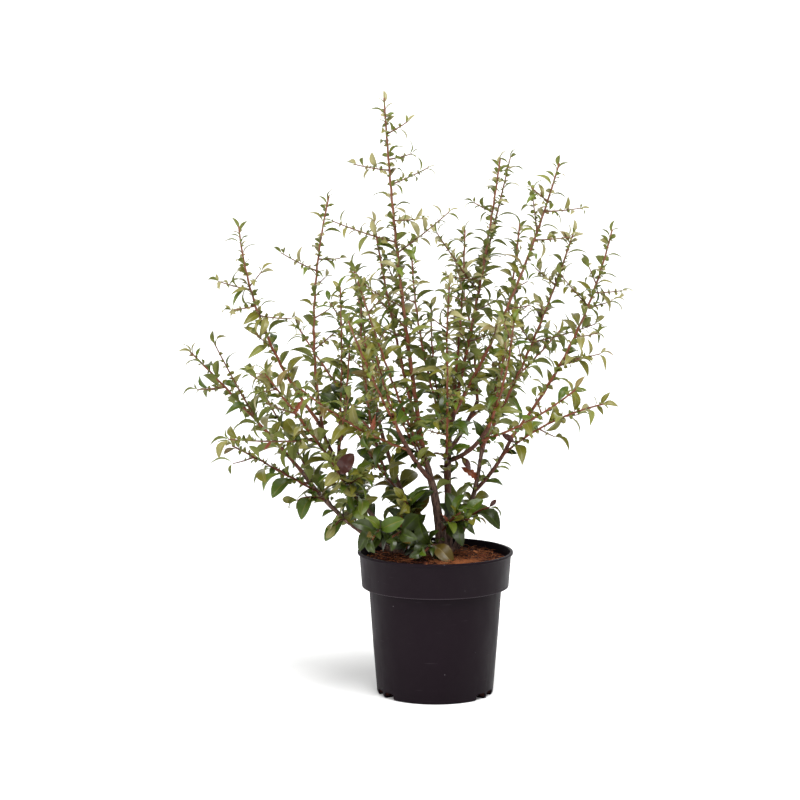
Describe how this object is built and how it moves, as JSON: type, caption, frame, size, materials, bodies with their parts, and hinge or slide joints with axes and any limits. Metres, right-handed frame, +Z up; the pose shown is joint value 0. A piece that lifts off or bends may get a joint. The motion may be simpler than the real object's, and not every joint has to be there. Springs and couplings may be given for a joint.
{
  "type": "potted flowering quince shrub",
  "caption": "Young flowering quince shrub: several thin stems and boughs carry leafy twigs above a round nursery pot with a deep collar, filled with potting mix.",
  "frame": {"origin": "middle of the pot's flat underside, on the surface that it stands on", "axes": "+Z up, +X to the right and +Y to the back as the plant is seen from its front"},
  "size_m": [0.6425, 0.4693, 0.8483],
  "materials": {
    "pot_plastic": "moulded black polypropylene, satin, with light scuffs and dust",
    "potting_mix": "loose coir fibre and bark chips, rusty brown and dull",
    "old_bark": "grey-brown bark with fine fissures along the stem",
    "young_bark": "smooth red-brown bark with pale pores",
    "leaves": "leathery green leaves, glossy above and paler and duller beneath, on thin red-brown twigs"
  },
  "bodies": {
    "root": {"pot": "pot_plastic", "potting_mix": "potting_mix", "trunk_left": "old_bark", "trunk_right": "old_bark", "bough_right": "old_bark", "bough_left": "old_bark", "bough_front_left": "old_bark", "bough_low_left": "old_bark", "bough_centre": "young_bark", "bough_far_right": "young_bark", "bough_upper_left": "young_bark", "bough_back_left": "young_bark", "bough_back_right": "young_bark", "bough_front_centre": "young_bark", "bough_front_right": "young_bark", "leaves_tall_left": "leaves", "leaves_inner_left": "leaves", "leaves_tall_right": "leaves", "leaves_tall_centre": "leaves", "leaves_centre_back": "leaves", "leaves_right": "leaves", "leaves_right_back": "leaves", "leaves_far_right": "leaves", "leaves_low_right": "leaves", "leaves_left_back": "leaves", "leaves_low_left_front": "leaves", "leaves_upper_left": "leaves", "leaves_left_upright": "leaves", "leaves_left_front": "leaves", "leaves_far_left": "leaves", "leaves_low_left": "leaves", "leaves_left_low_back": "leaves", "leaves_back_left": "leaves", "leaves_back_far_left": "leaves", "leaves_back_right": "leaves", "leaves_back_far_right": "leaves", "leaves_front_left": "leaves", "leaves_front_far_left": "leaves", "leaves_front_right": "leaves", "leaves_front_far_right": "leaves", "leaves_front_middle": "leaves", "leaves_front_low_left": "leaves", "leaves_low_front": "leaves", "leaves_inner_right": "leaves", "tuft_right": "leaves", "tuft_centre_front": "leaves", "tuft_rim_left": "leaves", "tuft_rim_middle": "leaves", "tuft_low_left": "leaves", "tuft_left": "leaves", "tuft_far_left": "leaves", "tuft_mid_left": "leaves", "tuft_foot_front": "leaves", "tuft_back": "leaves", "tuft_right_front": "leaves", "tuft_back_left": "leaves", "tuft_low_back": "leaves"}
  },
  "joints": []
}
